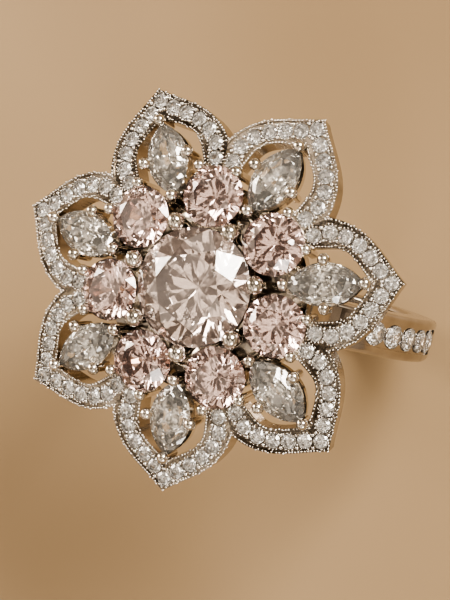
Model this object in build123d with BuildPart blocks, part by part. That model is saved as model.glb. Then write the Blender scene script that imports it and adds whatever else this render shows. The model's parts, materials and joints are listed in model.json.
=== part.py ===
"""Flower cocktail ring: a finger band with channel-set stones, a gallery that
carries a raised centre brilliant inside a circle of seven pink brilliants, and
seven pave-set petals, each one framing a marquise stone.

Millimetres. The origin is the centre of the finger bore, +Y runs along the
finger and +Z points up to the flower head.
"""

import os
from math import asin, atan2, cos, degrees, radians, sin, tan

from build123d import *

os.makedirs("parts", exist_ok=True)

# ---------------------------------------------------------------- dimensions
petal_count = 7
petal_turn = 17.7  # first petal, in degrees anticlockwise from +X

# finger band
bore_radius = 8.65
band_thickness = 1.85
band_width_bottom = 2.1
band_width_top = 2.7
band_edge_round = 0.3
band_stone_diameter = 1.45
band_stone_gap = 0.17
band_stone_count = 6  # on each side
band_row_end = 93.0  # last stone, in degrees from the top of the ring
band_hole_radius = 0.4
channel_depth = 0.16
channel_side_gap = 0.08  # between a stone and the channel's wall
channel_end = 0.6  # end of the channel from the last stone's centre, in steps of the row

# gallery and shoulders
gallery_gap = 0.2  # underside of the gallery above the band
gallery_thickness = 0.8
gallery_margin = 0.8  # edge of the gallery beyond the pink stones' circle
gallery_hole_radius = 0.75
shoulder_width = 2.0
shoulder_inner_reach = 1.3
shoulder_inset = 0.2  # top of the shoulder inside the gallery's edge
shoulder_waist = 0.35  # hollow of its outer side
shoulder_foot_gap = 1.5  # degrees between its foot and the channel

# centre stone and its setting
centre_diameter = 6.9
centre_girdle_height = 0.35  # above the setting plane
culet_clearance = 0.34  # point of the stone above the band
centre_base_inset = 0.15  # base cup inside the stone's girdle
centre_hole_radius = 1.1
centre_seat_drop = 0.5  # top of the seat ring below the girdle
centre_seat_height = 0.5
centre_seat_wall = 0.9
centre_claw_radius = 0.36
centre_bead_radius = 0.53
centre_claw_gap = 0.42  # claw axis outside the girdle
centre_claw_inset = 0.61  # claw axis inside the base cup's edge
centre_bead_rise = 0.42  # bead centre above the girdle

# pink stones and their settings
pink_diameter = 3.6
pink_gap = 0.05  # between the centre stone and a pink stone
pink_tilt = 8.0
pink_girdle_height = 0.13  # above the setting plane
pink_collet_drop = 0.1  # rim of the collet below the girdle
pink_collet_foot_wall = 0.35
pink_claw_spread = 36.0  # degrees either side of straight outwards
pink_claw_radius = 0.27
pink_bead_radius = 0.34
pink_claw_gap = 0.16
pink_claw_foot = 2.0  # below the girdle
pink_bead_rise = 0.28

# marquise stones and their settings
marquise_length = 4.4
marquise_width = 2.5
marquise_offset = 0.16  # inner point beyond the pink stones' circle
marquise_girdle_height = -0.2  # from the setting plane
marquise_rail_wall = 0.42
marquise_rail_height = 0.55
marquise_rail_drop = 0.75  # top of the rail below the girdle
marquise_claw_radius = 0.25
marquise_bead_radius = 0.36
marquise_claw_gap = 0.12
marquise_bead_rise = 0.3
bridge_width = 0.45
bridge_overlap = 0.3  # run of the bar under the point of the petal's opening

# petals
petal_tilt = 10.0
petal_notch_drop = 0.68  # rims below the setting plane, as far out as the notches
petal_depth = 1.5
petal_band = 1.37  # width of the pave band
petal_stem = 1.6  # from the pink stone out to the notch between two petals
petal_tip_half_angle = 51.0
petal_tip_handle = 0.425  # handles of the outer curve, as shares of the petal's half width and length
petal_side_handle = 0.875
petal_side_reach = 0.43
opening_side_gap = 0.8  # beside the marquise stone
opening_tip_gap = 0.37  # beyond the marquise stone
opening_side_end = 0.17  # straight sides of the opening end this far beyond the notch
opening_tip_handle = 0.46  # handles of the opening's curve, as shares of its half width and length
opening_tip_reach = 0.34
opening_side_reach = 0.49
rim_width = 0.12
rim_height = 0.12
melee_diameter = 0.88
melee_gap = 0.05
melee_tip_inset = 0.72  # first stone's centre from the petal's tip
melee_hole_radius = 0.2
melee_pink_gap = 0.02  # last stone from the pink stone's girdle
melee_leg_splay = 0.9  # offset of the row at the petal's root, as a share of that at its notch

# how the stones are cut
table_ratio = 0.57
small_table_ratio = 0.6
crown_angle = 34.5
pavilion_angle = 40.75
girdle_ratio = 0.02
lower_half_reach = 0.22
marquise_main_share = 0.42  # angle between main facets, as a share of the arc's half angle
marquise_upper_steeper = 8.0
marquise_lower_steeper = 3.0
marquise_star_flatter = 10.0

# fits
seat_clearance = 0.01

# ------------------------------------------------------------- worked values
sector = 360 / petal_count
half_sector = radians(sector / 2)
seat_angle = 180 - 2 * pavilion_angle

centre_radius = centre_diameter / 2
pink_radius = pink_diameter / 2
melee_radius = melee_diameter / 2
band_stone_radius = band_stone_diameter / 2
centre_stone_depth = centre_diameter * girdle_ratio + centre_radius * tan(radians(pavilion_angle))

band_radius = bore_radius + band_thickness
setting_plane = band_radius + culet_clearance + centre_stone_depth - centre_girdle_height
centre_girdle = setting_plane + centre_girdle_height
gallery_bottom = band_radius + gallery_gap
gallery_top = gallery_bottom + gallery_thickness
gallery_depth = setting_plane - gallery_top

pink_orbit = centre_radius + pink_gap + pink_radius
marquise_orbit = pink_orbit + marquise_offset + marquise_length / 2
opening_tip_radius = marquise_orbit + marquise_length / 2 + opening_tip_gap
petal_tip_radius = opening_tip_radius + petal_band / sin(radians(petal_tip_half_angle))
petal_notch_radius = pink_orbit + pink_radius + petal_stem
petal_tip_drop = petal_notch_drop + (petal_tip_radius - petal_notch_radius) * tan(radians(petal_tilt))
petal_root_radius = pink_orbit + pink_radius * cos(half_sector) / 2
opening_half_width = marquise_width / 2 + opening_side_gap
gallery_radius = pink_orbit + gallery_margin
centre_base_radius = centre_radius - centre_base_inset


def tilted_plane(radius, height, tilt):
    """A plane on the +X side that leans outwards, its x axis pointing away from the ring's axis."""
    lean = radians(tilt)
    return Plane(
        origin=(radius, 0, height),
        x_dir=(cos(lean), 0, -sin(lean)),
        z_dir=(sin(lean), 0, cos(lean)),
    )


pink_plane = tilted_plane(pink_orbit, setting_plane + pink_girdle_height, pink_tilt)
marquise_plane = tilted_plane(marquise_orbit, setting_plane + marquise_girdle_height, petal_tilt)
petal_plane = tilted_plane(petal_tip_radius, setting_plane - petal_tip_drop, petal_tilt)
petal_floor = petal_plane.offset(-rim_height)
rising = (Align.CENTER, Align.CENTER, Align.MIN)
hanging = (Align.CENTER, Align.CENTER, Align.MAX)


def turned(angle):
    return Location((0, 0, 0), (0, 0, angle))


def midway(first, second, share=0.5):
    return tuple(a + (b - a) * share for a, b in zip(first, second))


def write(piece, name):
    piece.label = name
    export_step(piece, f"parts/{name}.step")


def write_turned(master, name, first_angle):
    """One copy of a master for every petal, each in a node of its own."""
    for index in range(petal_count):
        with BuildPart() as copy:
            with Locations(turned(first_angle + index * sector)):
                add(master)
        write(copy.part, f"{name}_{index + 1}")


# ------------------------------------------------------------ stone cutting
def grind(distance, azimuth, slope, height, up=1):
    """Take one flat facet off the stone in the current builder."""
    turn = radians(azimuth)
    lean = radians(slope)
    outward = Vector(cos(turn), sin(turn), 0)
    facet = Plane(
        origin=outward * distance + Vector(0, 0, height),
        z_dir=outward * sin(lean) + Vector(0, 0, up * cos(lean)),
    )
    split(bisect_by=facet, keep=Keep.BOTTOM)


def grind_tier(first_azimuth, distance, slope, height, up=1):
    """Eight equal facets round the stone."""
    for index in range(8):
        grind(distance, first_azimuth + index * 45, slope, height, up)


def cut_round(radius):
    """A full round brilliant, its girdle's upper edge in the XY plane and its table up."""
    girdle = 2 * radius * girdle_ratio
    table = radius * table_ratio
    crown = (radius - table) * tan(radians(crown_angle))
    pavilion = radius * tan(radians(pavilion_angle))
    corner = cos(radians(22.5))
    quarter = cos(radians(11.25))
    star_tip = (table * corner + radius) / 2
    star_height = crown - (star_tip * corner - table) * tan(radians(crown_angle))
    star_slope = degrees(atan2(crown - star_height, star_tip - table * corner))
    upper_slope = degrees(atan2(star_height, (radius - star_tip) * quarter))
    lower_meet = lower_half_reach * radius
    lower_depth = pavilion - lower_meet * corner * tan(radians(pavilion_angle))
    lower_slope = degrees(atan2(lower_depth, (radius - lower_meet) * quarter))
    with BuildPart() as stone:
        with Locations((0, 0, crown)):
            Cylinder(radius, crown + girdle + pavilion, align=hanging)
        grind_tier(0, radius, crown_angle, 0)
        grind_tier(22.5, table * corner, star_slope, crown)
        grind_tier(11.25, radius * quarter, upper_slope, 0)
        grind_tier(-11.25, radius * quarter, upper_slope, 0)
        grind_tier(0, radius, pavilion_angle, -girdle, -1)
        grind_tier(11.25, radius * quarter, lower_slope, -girdle, -1)
        grind_tier(-11.25, radius * quarter, lower_slope, -girdle, -1)
    return stone.part


def cut_small_round(radius):
    """A single cut, as small stones have: table, eight crown and eight pavilion facets."""
    girdle = 2 * radius * girdle_ratio
    crown = radius * (1 - small_table_ratio) * tan(radians(crown_angle))
    pavilion = radius * tan(radians(pavilion_angle))
    with BuildPart() as stone:
        with Locations((0, 0, crown)):
            Cylinder(radius, crown + girdle + pavilion, align=hanging)
        grind_tier(0, radius, crown_angle, 0)
        grind_tier(22.5, radius, pavilion_angle, -girdle, -1)
    return stone.part


def small_seat_lift(radius):
    """How far a single cut stands above a conical seat, for the corners of its pavilion."""
    return radius * (1 - cos(radians(22.5))) * tan(radians(pavilion_angle)) + 2 * radius * girdle_ratio


def navette(length, width):
    """Two arcs that meet in points on the X axis."""
    with BuildLine() as outline:
        ThreePointArc((-length / 2, 0), (0, width / 2), (length / 2, 0))
        ThreePointArc((-length / 2, 0), (0, -width / 2), (length / 2, 0))
    return outline.line


def cut_marquise(length, width):
    """A marquise brilliant, its points on the X axis and its girdle's upper edge in the XY plane."""
    arc_radius = (length**2 + width**2) / (4 * width)
    arc_centre = arc_radius - width / 2
    girdle = width * girdle_ratio
    table_inset = width / 2 * (1 - table_ratio)
    crown = table_inset * tan(radians(crown_angle))
    pavilion = width / 2 * tan(radians(pavilion_angle))
    main_step = degrees(asin(length / 2 / arc_radius)) * marquise_main_share
    with BuildPart() as stone:
        with BuildSketch(Plane.XY.offset(-girdle - pavilion)):
            make_face(navette(length, width))
        extrude(amount=pavilion + girdle + crown)
        for side in (90, -90):
            for half_steps in range(-5, 6):
                normal = half_steps * main_step / 2
                azimuth = side - normal
                distance = arc_radius - arc_centre * cos(radians(normal))
                if half_steps % 2 == 0:
                    grind(distance, azimuth, crown_angle, 0)
                    grind(distance, azimuth, pavilion_angle, -girdle, -1)
                else:
                    grind(distance, azimuth, crown_angle + marquise_upper_steeper, 0)
                    grind(distance, azimuth, pavilion_angle + marquise_lower_steeper, -girdle, -1)
                    grind(distance - table_inset, azimuth, crown_angle - marquise_star_flatter, crown)
    return stone.part


centre_stone_master = cut_round(centre_radius)
pink_stone_master = cut_round(pink_radius)
marquise_stone_master = cut_marquise(marquise_length, marquise_width)
melee_master = cut_small_round(melee_radius)
band_stone_master = cut_small_round(band_stone_radius)
# the room that a stone takes in its claws and collet
centre_room = cut_round(centre_radius + seat_clearance)
pink_room = cut_round(pink_radius + seat_clearance)
marquise_room = cut_marquise(marquise_length + 2 * seat_clearance, marquise_width + 2 * seat_clearance)


# --------------------------------------------------------------- finger band
band_step = degrees((band_stone_diameter + band_stone_gap) / band_radius)
channel_last = band_row_end + band_step * channel_end
channel_first = band_row_end - band_step * (band_stone_count - 1 + channel_end)
sides = ((1, "right"), (-1, "left"))


def band_stone_planes(side):
    """The places of one side's stones, on the floor of the channel and facing outwards."""
    places = []
    for index in range(band_stone_count):
        turn = side * radians(band_row_end - index * band_step)
        outward = Vector(sin(turn), 0, cos(turn))
        places.append(Plane(outward * (band_radius - channel_depth), x_dir=(0, 1, 0), z_dir=outward))
    return places


with BuildPart() as shank:
    with BuildSketch(Plane.XZ.offset(-band_width_top / 2)):
        Circle(band_radius)
        Circle(bore_radius, mode=Mode.SUBTRACT)
    extrude(amount=band_width_top)
    # the band narrows from the middle of the bore to its bottom
    with BuildSketch(Plane.YZ.offset(-band_radius)):
        for side, side_name in sides:
            Polygon(
                (side * band_width_top / 2, 0),
                (side * band_width_top, 0),
                (side * band_width_top, -band_radius),
                (side * band_width_bottom / 2, -band_radius),
                align=None,
            )
    extrude(amount=2 * band_radius, mode=Mode.SUBTRACT)
    fillet(shank.edges().filter_by(lambda edge: edge.length > bore_radius), band_edge_round)
    for side, side_name in sides:
        start = radians(channel_first if side > 0 else -channel_last)
        section = Plane(
            origin=(0, 0, 0),
            x_dir=(sin(start), 0, cos(start)),
            z_dir=(cos(start), 0, -sin(start)),
        )
        with BuildSketch(section):
            with Locations((band_radius, 0)):
                Rectangle(2 * channel_depth, band_stone_diameter + 2 * channel_side_gap)
        revolve(axis=Axis.Y, revolution_arc=channel_last - channel_first, mode=Mode.SUBTRACT)
        for place in band_stone_planes(side):
            with Locations(place):
                CounterSinkHole(
                    band_hole_radius,
                    band_stone_radius + seat_clearance,
                    depth=2 * band_thickness,
                    counter_sink_angle=seat_angle,
                )
write(shank.part, "shank")

for side, side_name in sides:
    with BuildPart() as band_stones:
        for place in band_stone_planes(side):
            with Locations(place.offset(small_seat_lift(band_stone_radius))):
                add(band_stone_master)
    write(band_stones.part, f"shank_stones_{side_name}")


# ------------------------------------------------------ gallery and shoulders
with BuildPart() as gallery_ring:
    with BuildSketch(Plane.XY.offset(gallery_bottom)):
        Circle(gallery_radius)
        Circle(centre_base_radius, mode=Mode.SUBTRACT)
        with PolarLocations(pink_orbit, petal_count, petal_turn + sector / 2):
            Circle(gallery_hole_radius, mode=Mode.SUBTRACT)
    extrude(amount=gallery_thickness)
write(gallery_ring.part, "gallery_ring")

foot_turn = radians(channel_first - shoulder_foot_gap)
for side, side_name in sides:
    with BuildPart() as shoulder:
        with BuildSketch(Plane.XZ.offset(-shoulder_width / 2)):
            with BuildLine():
                inner = (side * shoulder_inner_reach, gallery_bottom)
                outer = (side * (gallery_radius - shoulder_inset), gallery_bottom)
                foot = (side * band_radius * sin(foot_turn), band_radius * cos(foot_turn))
                waist = midway(outer, foot)
                Line(inner, outer)
                ThreePointArc(outer, (waist[0] - side * shoulder_waist, waist[1]), foot)
                Polyline(foot, (inner[0], 0), inner)
            make_face()
            Circle(band_radius, mode=Mode.SUBTRACT)
        extrude(amount=shoulder_width)
    write(shoulder.part, f"shoulder_{side_name}")


# ------------------------------------------------------------- centre stone
with BuildPart() as centre_stone:
    with Locations((0, 0, centre_girdle)):
        add(centre_stone_master)
write(centre_stone.part, "centre_stone")

with BuildPart() as centre_setting:
    # the base cup inside the gallery ring, and the seat ring under the girdle
    with BuildSketch(Plane.XY.offset(gallery_bottom)):
        Circle(centre_base_radius)
        Circle(centre_hole_radius, mode=Mode.SUBTRACT)
    extrude(amount=gallery_thickness)
    with BuildSketch(Plane.XY.offset(centre_girdle - centre_seat_drop)):
        Circle(centre_radius)
        Circle(centre_radius - centre_seat_wall, mode=Mode.SUBTRACT)
    extrude(amount=-centre_seat_height)
    # claws lean out from the cup to the girdle, then stand up and end in a bead
    for index in range(petal_count):
        angle = radians(petal_turn + index * sector)
        outward = Vector(cos(angle), sin(angle), 0)
        foot = outward * (centre_base_radius - centre_claw_inset)
        foot = foot + Vector(0, 0, gallery_bottom + gallery_thickness / 2)
        knee = outward * (centre_radius + centre_claw_gap)
        knee = knee + Vector(0, 0, centre_girdle - centre_seat_drop)
        upright = centre_seat_drop + centre_bead_rise
        with Locations(Plane(foot, z_dir=knee - foot)):
            Cylinder(centre_claw_radius, (knee - foot).length, align=rising)
        with Locations(knee):
            Sphere(centre_claw_radius)
            Cylinder(centre_claw_radius, upright, align=rising)
        with Locations(knee + Vector(0, 0, upright)):
            Sphere(centre_bead_radius)
    with Locations((0, 0, centre_girdle)):
        add(centre_room, mode=Mode.SUBTRACT)
    add(gallery_ring.part, mode=Mode.SUBTRACT)
write(centre_setting.part, "centre_setting")


# --------------------------------------------------------------- pink stones
pink_claw_distance = pink_radius + pink_claw_gap

with BuildPart() as pink_outside:
    # a tapered collet and two outer claws, before the stone's seat is cut
    with Locations(pink_plane.offset(-pink_collet_drop)):
        Cone(
            gallery_hole_radius + pink_collet_foot_wall,
            pink_radius,
            gallery_depth + pink_girdle_height,
            align=hanging,
        )
    for spread in (radians(pink_claw_spread), -radians(pink_claw_spread)):
        x, y = pink_claw_distance * cos(spread), pink_claw_distance * sin(spread)
        with Locations(pink_plane.location):
            with Locations((x, y, -pink_claw_foot)):
                Cylinder(pink_claw_radius, pink_claw_foot + pink_bead_rise, align=rising)
            with Locations((x, y, pink_bead_rise)):
                Sphere(pink_bead_radius)
    split(bisect_by=Plane.XY.offset(gallery_top), keep=Keep.TOP)

with BuildPart() as pink_setting:
    add(pink_outside.part)
    with Locations(pink_plane):
        add(pink_room, mode=Mode.SUBTRACT)
        Cylinder(gallery_hole_radius, 2 * gallery_depth, align=hanging, mode=Mode.SUBTRACT)

with BuildPart() as pink_stone:
    with Locations(pink_plane):
        add(pink_stone_master)

between_petals = petal_turn + sector / 2
write_turned(pink_stone.part, "pink_stone", between_petals)
write_turned(pink_setting.part, "pink_setting", between_petals)


# -------------------------------------------------------------- petal frames
def on_petal(radius, offset):
    """A point of the petal's plane, from its distance to the ring's axis and its sideways offset."""
    return ((radius - petal_tip_radius) / cos(radians(petal_tilt)), offset)


# Half outlines as curves of four handles, from the notch or side out to the tip.
notch_reach = petal_notch_radius * cos(half_sector)
notch_offset = petal_notch_radius * sin(half_sector)
petal_reach = petal_tip_radius - notch_reach
tip_handle = petal_tip_handle * notch_offset
outer_curve = [
    on_petal(notch_reach, notch_offset),
    on_petal(petal_tip_radius - petal_side_reach * petal_reach, petal_side_handle * notch_offset),
    on_petal(petal_tip_radius - tip_handle / tan(radians(petal_tip_half_angle)), tip_handle),
    on_petal(petal_tip_radius, 0),
]
side_reach = notch_reach + opening_side_end
opening_reach = opening_tip_radius - side_reach
opening_curve = [
    on_petal(side_reach, opening_half_width),
    on_petal(opening_tip_radius - opening_side_reach * opening_reach, opening_half_width),
    on_petal(
        opening_tip_radius - opening_tip_reach * opening_reach,
        opening_tip_handle * opening_half_width,
    ),
    on_petal(opening_tip_radius, 0),
]


def petal_outline(share):
    """A closed outline between the petal's edge (0) and its opening (1), running in to the gallery."""
    curve = [midway(a, b, share) for a, b in zip(outer_curve, opening_curve)]
    mirrored = [(x, -y) for x, y in curve]
    root = on_petal(petal_root_radius, 0)[0]
    with BuildLine() as outline:
        Bezier(*curve)
        Bezier(*mirrored)
        Polyline(curve[0], (root, curve[0][1]), (root, mirrored[0][1]), mirrored[0])
    return outline.line


def melee_places():
    """Stone centres along the middle of the band, from the tip down both legs to the pink stones."""
    tip_stone = (-melee_tip_inset, 0)
    middle = [midway(a, b) for a, b in zip(outer_curve, opening_curve)]
    leg_end = on_petal(petal_root_radius, melee_leg_splay * middle[0][1])
    pink_centre = Vector(*on_petal(pink_orbit * cos(half_sector), pink_orbit * sin(half_sector)))
    with BuildLine() as row:
        bend = Bezier(tip_stone, middle[2], middle[1], middle[0])
        leg = Line(middle[0], leg_end)
    places = [tip_stone]
    run = melee_diameter + melee_gap
    while run < bend.length + leg.length:
        if run <= bend.length:
            spot = bend.position_at(run, position_mode=PositionMode.LENGTH)
        else:
            spot = leg.position_at(run - bend.length, position_mode=PositionMode.LENGTH)
        if (spot - pink_centre).length < pink_radius + melee_radius + melee_pink_gap:
            break
        places.append((spot.X, spot.Y))
        places.append((spot.X, -spot.Y))
        run += melee_diameter + melee_gap
    return places


with BuildPart() as petal_frame:
    with BuildSketch(petal_plane):
        make_face(petal_outline(0))
        make_face(petal_outline(1), mode=Mode.SUBTRACT)
    extrude(amount=-petal_depth)
    # the stones stand on a floor between two thin rims
    rim_share = rim_width / petal_band
    with BuildSketch(petal_plane):
        make_face(petal_outline(rim_share))
        make_face(petal_outline(1 - rim_share), mode=Mode.SUBTRACT)
    extrude(amount=-rim_height, mode=Mode.SUBTRACT)
    with Locations(petal_floor.location):
        with Locations(*melee_places()):
            CounterSinkHole(
                melee_hole_radius,
                melee_radius + seat_clearance,
                depth=2 * petal_depth,
                counter_sink_angle=seat_angle,
            )
    # the frame ends on the planes that it shares with its neighbours
    for side, side_name in sides:
        across = (-sin(half_sector), side * cos(half_sector), 0)
        split(bisect_by=Plane((0, 0, 0), z_dir=across), keep=Keep.BOTTOM)
    # its legs are fitted round the pink stones' collets and claws
    for angle in (sector / 2, -sector / 2):
        with Locations(turned(angle)):
            add(pink_outside.part, mode=Mode.SUBTRACT)

with BuildPart() as petal_stones:
    with Locations(petal_floor.offset(small_seat_lift(melee_radius)).location):
        with Locations(*melee_places()):
            add(melee_master)

write_turned(petal_frame.part, "petal_frame", petal_turn)
write_turned(petal_stones.part, "petal_stones", petal_turn)


# ----------------------------------------------------------- marquise stones
rail_bottom = -marquise_rail_drop - marquise_rail_height
claw_x = marquise_length / 2 + marquise_claw_gap
claw_y = marquise_width / 2 + marquise_claw_gap

with BuildPart() as marquise_setting:
    with BuildSketch(marquise_plane.offset(rail_bottom)):
        make_face(navette(marquise_length, marquise_width))
        make_face(
            navette(marquise_length - 4 * marquise_rail_wall, marquise_width - 2 * marquise_rail_wall),
            mode=Mode.SUBTRACT,
        )
    extrude(amount=marquise_rail_height)
    with Locations(marquise_plane.location):
        for x, y in ((claw_x, 0), (-claw_x, 0), (0, claw_y), (0, -claw_y)):
            with Locations((x, y, rail_bottom)):
                Cylinder(marquise_claw_radius, marquise_bead_rise - rail_bottom, align=rising)
            with Locations((x, y, marquise_bead_rise)):
                Sphere(marquise_bead_radius)
        # the inner claw's foot runs down to the gallery
        with Locations((-claw_x, 0, rail_bottom)):
            Cylinder(marquise_claw_radius, gallery_depth, align=hanging)
        # a bar joins the outer claw to the petal
        with Locations((claw_x, 0, rail_bottom)):
            Box(
                opening_tip_gap + bridge_overlap,
                bridge_width,
                marquise_rail_height,
                align=(Align.MIN, Align.CENTER, Align.MIN),
            )
    split(bisect_by=Plane.XY.offset(gallery_top), keep=Keep.TOP)
    with Locations(marquise_plane):
        add(marquise_room, mode=Mode.SUBTRACT)
    add(petal_frame.part, mode=Mode.SUBTRACT)

with BuildPart() as marquise_stone:
    with Locations(marquise_plane):
        add(marquise_stone_master)

write_turned(marquise_stone.part, "marquise_stone", petal_turn)
write_turned(marquise_setting.part, "marquise_setting", petal_turn)
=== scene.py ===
"""Looks of the flower cocktail ring: stone and metal materials, the grain beads and beaded
rims of the pave, a pale floor, soft lights and the camera. Metres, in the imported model's frame.
"""
import json
import math

import bmesh
import bpy
from mathutils import Matrix, Vector


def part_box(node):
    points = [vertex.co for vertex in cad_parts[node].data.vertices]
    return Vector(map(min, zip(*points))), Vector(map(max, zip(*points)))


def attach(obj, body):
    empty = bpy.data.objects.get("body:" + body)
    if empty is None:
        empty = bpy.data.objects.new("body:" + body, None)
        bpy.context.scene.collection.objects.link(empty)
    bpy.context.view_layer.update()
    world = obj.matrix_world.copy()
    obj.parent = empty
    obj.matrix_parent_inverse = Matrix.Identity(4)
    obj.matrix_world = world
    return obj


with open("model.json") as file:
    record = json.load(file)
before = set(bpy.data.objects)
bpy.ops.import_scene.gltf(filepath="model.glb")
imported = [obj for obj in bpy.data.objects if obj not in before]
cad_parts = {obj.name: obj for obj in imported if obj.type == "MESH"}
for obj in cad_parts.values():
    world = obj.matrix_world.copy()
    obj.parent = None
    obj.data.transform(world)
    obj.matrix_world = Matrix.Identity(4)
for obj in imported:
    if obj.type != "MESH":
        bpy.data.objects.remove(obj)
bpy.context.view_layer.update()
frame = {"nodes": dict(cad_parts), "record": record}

MM = 0.001
PETALS = 7

# the pave
STONE_RADIUS = 0.44 * MM
STONE_PITCH = 0.93 * MM
RIM_WIDTH = 0.12 * MM               # also the height of the rims above the floor
GRAIN_RADIUS = 0.125 * MM           # beads that hold the stones, beside each gap
GRAIN_SIDE = 0.37 * MM              # their distance from the middle of the row
RIM_GRAIN_RADIUS = 0.068 * MM       # beads along the rims
RIM_GRAIN_PITCH = 0.15 * MM
SMALL_GRAIN_RADIUS = 0.06 * MM      # beads round each stone
SMALL_GRAIN_COUNT = 15
SMALL_GRAIN_GAP = 0.16 * MM         # least distance to the other beads of the floor
SMALL_GRAIN_RIM_GAP = 0.11 * MM     # least distance to the beads of the rims
WELD = 0.002 * MM                   # points closer than this are one point

# textures, in repeats a metre
CLOUD_SCALE = 700
MARK_SCALE = 5200
FLOOR_SCALE = 18

TABLE_ABOVE_AIM = 1.4 * MM          # the camera and the lights aim at the inside of the centre stone
centre_low, centre_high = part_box("centre_stone")
shank_low, shank_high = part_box("shank")
head = Vector((0, 0, centre_high[2] - TABLE_ABOVE_AIM))


# ------------------------------------------------------------------- camera
def make_camera():
    """Seen from above the head, 20 degrees from its axis towards +X and a little towards +Y."""
    offset = Vector((40.5, 8.4, 106.5)) * MM
    finger_axis_tilt = math.radians(16.0)
    aim_right, aim_down = 1.69 * MM, 0.72 * MM
    data = bpy.data.cameras.new("camera")
    data.lens = 120
    data.sensor_width = 36
    data.clip_start = 0.001
    camera = bpy.data.objects.new("camera", data)
    bpy.context.collection.objects.link(camera)
    forward = -offset.normalized()
    finger = Vector((0, 1, 0))
    finger = (finger - forward * finger.dot(forward)).normalized()
    beside = forward.cross(finger)
    up = finger * math.cos(finger_axis_tilt) - beside * math.sin(finger_axis_tilt)
    aim = head + forward.cross(up) * aim_right - up * aim_down
    forward = (aim - head - offset).normalized()
    right = forward.cross(up).normalized()
    turn = Matrix((right, right.cross(forward), -forward)).transposed().to_4x4()
    camera.matrix_world = Matrix.Translation(head + offset) @ turn
    bpy.context.scene.camera = camera


# ---------------------------------------------------------------- materials
def new_material(name):
    material = bpy.data.materials.new(name)
    material.use_nodes = True
    nodes = material.node_tree.nodes
    return material, nodes, material.node_tree.links, nodes["Principled BSDF"]


def add_noise(nodes, links, scale, detail, low, high, upright=1):
    """A noise, drawn out upright where upright is below 1, and the noise spread between two values."""
    place = nodes.new("ShaderNodeTexCoord")
    stretch = nodes.new("ShaderNodeMapping")
    stretch.inputs["Scale"].default_value = (1, 1, upright)
    noise = nodes.new("ShaderNodeTexNoise")
    noise.inputs["Scale"].default_value = scale
    noise.inputs["Detail"].default_value = detail
    spread = nodes.new("ShaderNodeMapRange")
    spread.inputs["To Min"].default_value = low
    spread.inputs["To Max"].default_value = high
    links.new(place.outputs["Object"], stretch.inputs["Vector"])
    links.new(stretch.outputs["Vector"], noise.inputs["Vector"])
    links.new(noise.outputs["Fac"], spread.inputs["Value"])
    return noise.outputs["Fac"], spread.outputs["Result"]


def add_bump(nodes, links, shader, height, strength, distance):
    bump = nodes.new("ShaderNodeBump")
    bump.inputs["Strength"].default_value = strength
    bump.inputs["Distance"].default_value = distance
    links.new(height, bump.inputs["Height"])
    links.new(bump.outputs["Normal"], shader.inputs["Normal"])


def add_ramp(nodes, links, value, dark, light, start=0.35, end=0.65):
    ramp = nodes.new("ShaderNodeValToRGB")
    first, last = ramp.color_ramp.elements
    first.position, last.position = start, end
    first.color, last.color = list(dark) + [1], list(light) + [1]
    links.new(value, ramp.inputs["Fac"])
    return ramp.outputs["Color"]


def white_gold(name, dark, light, rough, strength, upright=1):
    """White gold with a cloudy tone and the fine marks of polishing or filing."""
    material, nodes, links, shader = new_material(name)
    shader.inputs["Metallic"].default_value = 1
    cloud, roughness = add_noise(nodes, links, CLOUD_SCALE, 5, *rough, upright)
    links.new(roughness, shader.inputs["Roughness"])
    links.new(add_ramp(nodes, links, cloud, dark, light), shader.inputs["Base Color"])
    marks, height = add_noise(nodes, links, MARK_SCALE, 4, 0, 1, upright)
    add_bump(nodes, links, shader, height, strength, 0.03 * MM)
    return material


def gem(name, colour, ior, clearness, facet, sparkle):
    """A cut stone, a little clouded by wear, with the small facets that its cut leaves out."""
    material, nodes, links, shader = new_material(name)
    shader.inputs["Base Color"].default_value = list(colour) + [1]
    shader.inputs["Transmission Weight"].default_value = clearness
    shader.inputs["IOR"].default_value = ior
    wear, roughness = add_noise(nodes, links, CLOUD_SCALE, 3, 0, 0.03)
    links.new(roughness, shader.inputs["Roughness"])
    place = nodes.new("ShaderNodeTexCoord")
    cells = nodes.new("ShaderNodeTexVoronoi")
    cells.inputs["Scale"].default_value = 1 / facet
    links.new(place.outputs["Object"], cells.inputs["Vector"])
    add_bump(nodes, links, shader, cells.outputs["Distance"], sparkle, facet)
    return material


def dress_frame():
    """Give each CAD node its material, by its slot or, for the petal frames and settings, by its kind.
    """
    plain = white_gold("white_gold", (0.5, 0.46, 0.41), (0.6, 0.56, 0.51), (0.06, 0.18), 0.1)
    claw = white_gold("claw_gold", (0.6, 0.56, 0.5), (0.8, 0.76, 0.71), (0.02, 0.08), 0.04)
    # petal frames: a darker brown tone, painted shade of the pavé recesses, over the metal's own
    # cloudy tone and upright filing marks
    pave_painted_shade = white_gold("pave_gold_painted_shade", (0.24, 0.2, 0.155), (0.56, 0.51, 0.45), (0.1, 0.24), 0.6, 0.12)
    kinds = {
        "petal_frame": pave_painted_shade,
        "centre_setting": claw,
        "pink_setting": claw,
        "marquise_setting": claw,
    }
    slots = {
        "white_metal": plain,
        "champagne_stone": gem("champagne_gem", (0.99, 0.84, 0.78), 2.1, 0.93, 1.6 * MM, 0.015),
        "pink_stone": gem("pink_gem", (0.93, 0.72, 0.67), 2.0, 0.95, 1.1 * MM, 0.02),
        "clear_stone": gem("clear_gem", (0.99, 0.96, 0.91), 2.15, 0.925, 0.7 * MM, 0.17),
        "small_stone": gem("small_gem", (0.97, 0.95, 0.92), 2.1, 0.92, 0.3 * MM, 0.16),
    }
    for part in frame["record"]["subparts"]:
        materials = frame["nodes"][part["node"]].data.materials
        materials.clear()
        kind = part["node"].rstrip("_0123456789")
        materials.append(kinds.get(kind, slots[part["material_slot"]]))


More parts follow.
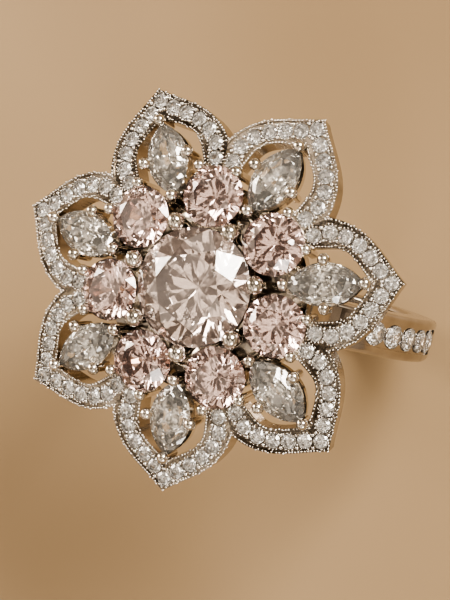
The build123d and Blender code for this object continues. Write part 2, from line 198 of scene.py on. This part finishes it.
# -------------------------------------------------------------- grain beads
def read_mesh(node):
    """A node's mesh in the frame's space, with its seams welded."""
    mesh = bmesh.new()
    mesh.from_mesh(node.data)
    mesh.transform(node.matrix_world)
    bmesh.ops.remove_doubles(mesh, verts=mesh.verts, dist=WELD)
    return mesh


def stone_centres(node):
    """The middle of each separate stone in a node."""
    mesh = read_mesh(node)
    waiting = set(mesh.verts)
    centres = []
    for seed in mesh.verts:
        if seed not in waiting:
            continue
        waiting.remove(seed)
        island = [seed]
        for vertex in island:
            for edge in vertex.link_edges:
                other = edge.other_vert(vertex)
                if other in waiting:
                    waiting.remove(other)
                    island.append(other)
        low = Vector([min(vertex.co[axis] for vertex in island) for axis in range(3)])
        high = Vector([max(vertex.co[axis] for vertex in island) for axis in range(3)])
        centres.append((low + high) / 2)
    mesh.free()
    return centres


def petal_normal(node):
    """The direction that the petal's floor and rims face."""
    groups = {}
    for face in node.data.polygons:
        normal = (node.matrix_world.to_3x3() @ face.normal).normalized()
        if normal.z > 0.9:
            key = tuple(round(value, 2) for value in normal)
            groups.setdefault(key, []).append((face.area, normal))
    widest = max(groups.values(), key=lambda faces: sum(area for area, normal in faces))
    return sum((normal * area for area, normal in widest), Vector()).normalized()


def rim_edges(node, normal):
    """The edges that bound the tops of the two rims, and the height of those tops."""
    mesh = read_mesh(node)
    top = max(vertex.co.dot(normal) for vertex in mesh.verts)

    def on_top(face):
        return all(top - vertex.co.dot(normal) < 0.01 * MM for vertex in face.verts)

    edges = [edge for edge in mesh.edges if sum(on_top(face) for face in edge.link_faces) == 1]
    segments = [tuple(vertex.co.copy() for vertex in edge.verts) for edge in edges]
    mesh.free()
    return segments, top


def across_rim(segments, point):
    """The nearest point on the rim's other edge, or None where there is no other edge."""
    best, best_distance = None, 1.7 * RIM_WIDTH
    for start, end in segments:
        along = end - start
        share = max(0, min(1, (point - start).dot(along) / max(along.length_squared, WELD**2)))
        spot = start + along * share
        distance = (spot - point).length
        if 0.6 * RIM_WIDTH < distance < best_distance:
            best, best_distance = spot, distance
    return best


def apart(place, others, distance):
    return all((place - other).length > distance for other in others)


def grain_places(stones, normal, floor):
    """On each side of every gap between two stones."""
    places = []
    for index, first in enumerate(stones):
        for second in stones[index + 1 :]:
            step = second - first
            if step.length < 1.3 * STONE_PITCH:
                middle = (first + second) / 2
                middle += normal * (floor + 0.04 * MM - middle.dot(normal))
                beside = normal.cross(step).normalized() * GRAIN_SIDE
                places += [middle + beside, middle - beside]
    return places


def rim_places(segments, normal):
    """Evenly along the middle of both rims, sunk a little into them."""
    places = []
    for start, end in segments:
        count = max(1, math.ceil((end - start).length / (0.25 * RIM_GRAIN_PITCH)))
        for step in range(count + 1):
            point = start.lerp(end, step / count)
            opposite = across_rim(segments, point)
            if opposite is not None and apart((point + opposite) / 2, places, RIM_GRAIN_PITCH):
                places.append((point + opposite) / 2)
    return [place - normal * 0.2 * RIM_GRAIN_RADIUS for place in places]


def small_places(stones, normal, floor, grains, rims):
    """Round each stone, where the floor has room."""
    reach = STONE_RADIUS + SMALL_GRAIN_RADIUS
    spoke = normal.orthogonal().normalized() * reach
    places = []
    for stone in stones:
        middle = stone + normal * (floor + 0.03 * MM - stone.dot(normal))
        others = [other for other in stones if other is not stone]
        for step in range(SMALL_GRAIN_COUNT):
            turn = Matrix.Rotation(step * 2 * math.pi / SMALL_GRAIN_COUNT, 3, normal)
            place = middle + turn @ spoke
            if (
                apart(place, others, reach)
                and apart(place, grains + places, SMALL_GRAIN_GAP)
                and apart(place, rims, SMALL_GRAIN_RIM_GAP)
            ):
                places.append(place)
    return places


def make_grain(index, metal):
    """All the beads of one petal, as one piece."""
    petal = frame["nodes"][f"petal_frame_{index}"]
    stones = stone_centres(frame["nodes"][f"petal_stones_{index}"])
    normal = petal_normal(petal)
    segments, top = rim_edges(petal, normal)
    floor = top - RIM_WIDTH
    grains = grain_places(stones, normal, floor)
    rims = rim_places(segments, normal)
    smalls = small_places(stones, normal, floor, grains, rims)
    mesh = bmesh.new()
    for places, radius in (
        (grains, GRAIN_RADIUS),
        (rims, RIM_GRAIN_RADIUS),
        (smalls, SMALL_GRAIN_RADIUS),
    ):
        for place in places:
            spot = Matrix.Translation(place)
            bmesh.ops.create_icosphere(mesh, subdivisions=2, radius=radius, matrix=spot)
    for face in mesh.faces:
        face.smooth = True
    data = bpy.data.meshes.new(f"petal_grain_{index}")
    mesh.to_mesh(data)
    mesh.free()
    data.materials.append(metal)
    grain = bpy.data.objects.new(f"petal_grain_{index}", data)
    bpy.context.collection.objects.link(grain)
    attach(grain, "root")


# -------------------------------------------------------------------- stage
def make_floor():
    size = 400 * MM
    low = shank_low[2]
    corners = [(-size, -size, low), (size, -size, low), (size, size, low), (-size, size, low)]
    mesh = bpy.data.meshes.new("floor")
    mesh.from_pydata(corners, [], [(0, 1, 2, 3)])
    floor = bpy.data.objects.new("floor", mesh)
    bpy.context.collection.objects.link(floor)
    material, nodes, links, shader = new_material("floor")
    cloud, tone = add_noise(nodes, links, FLOOR_SCALE, 2, 0, 1)
    colour = add_ramp(nodes, links, tone, (0.29, 0.2, 0.11), (0.35, 0.25, 0.145))
    links.new(colour, shader.inputs["Base Color"])
    shader.inputs["Roughness"].default_value = 0.6
    mesh.materials.append(material)


def soft_light(name, place, size, power, colour):
    data = bpy.data.lights.new(name, "AREA")
    data.shape = "RECTANGLE"
    data.size, data.size_y = size[0] * MM, size[1] * MM
    data.energy = power
    data.color = colour
    light = bpy.data.objects.new(name, data)
    bpy.context.collection.objects.link(light)
    light.location = head + Vector(place) * MM
    light.rotation_euler = (head - light.location).to_track_quat("-Z", "Y").to_euler()


def make_world():
    """A light tent: plain walls, and above them bright cloth with soft darker panels."""
    world = bpy.data.worlds.new("world")
    world.use_nodes = True
    nodes, links = world.node_tree.nodes, world.node_tree.links
    place = nodes.new("ShaderNodeTexCoord")
    noise = nodes.new("ShaderNodeTexNoise")
    noise.inputs["Scale"].default_value = 2.6
    noise.inputs["Detail"].default_value = 1
    links.new(place.outputs["Generated"], noise.inputs["Vector"])
    dark, bright = (0.04, 0.028, 0.018), (1.3, 1.13, 0.94)
    panels = add_ramp(nodes, links, noise.outputs["Fac"], dark, bright, 0.46, 0.56)
    height = nodes.new("ShaderNodeSeparateXYZ")
    links.new(place.outputs["Generated"], height.inputs["Vector"])
    walls = nodes.new("ShaderNodeMapRange")
    walls.inputs["From Min"].default_value = 0.2
    walls.inputs["From Max"].default_value = 0.45
    links.new(height.outputs["Z"], walls.inputs["Value"])
    mix = nodes.new("ShaderNodeMix")
    mix.data_type = "RGBA"
    mix.inputs["A"].default_value = (0.34, 0.26, 0.19, 1)
    links.new(walls.outputs["Result"], mix.inputs["Factor"])
    links.new(panels, mix.inputs["B"])
    links.new(mix.outputs["Result"], nodes["Background"].inputs["Color"])
    bpy.context.scene.world = world


make_camera()
grain_metal = white_gold("grain_gold", (0.55, 0.52, 0.48), (0.84, 0.81, 0.78), (0.04, 0.14), 0.2)
dress_frame()
for petal_index in range(1, PETALS + 1):
    make_grain(petal_index, grain_metal)
make_floor()
make_world()
soft_light("key", (120, 170, 170), (110, 110), 0.85, (1, 0.95, 0.88))
soft_light("fill", (-210, 40, 70), (80, 120), 0.35, (1, 0.9, 0.8))
soft_light("front", (150, -170, 130), (90, 90), 0.15, (1, 0.97, 0.93))
bpy.context.scene.view_settings.look = "AgX - High Contrast"
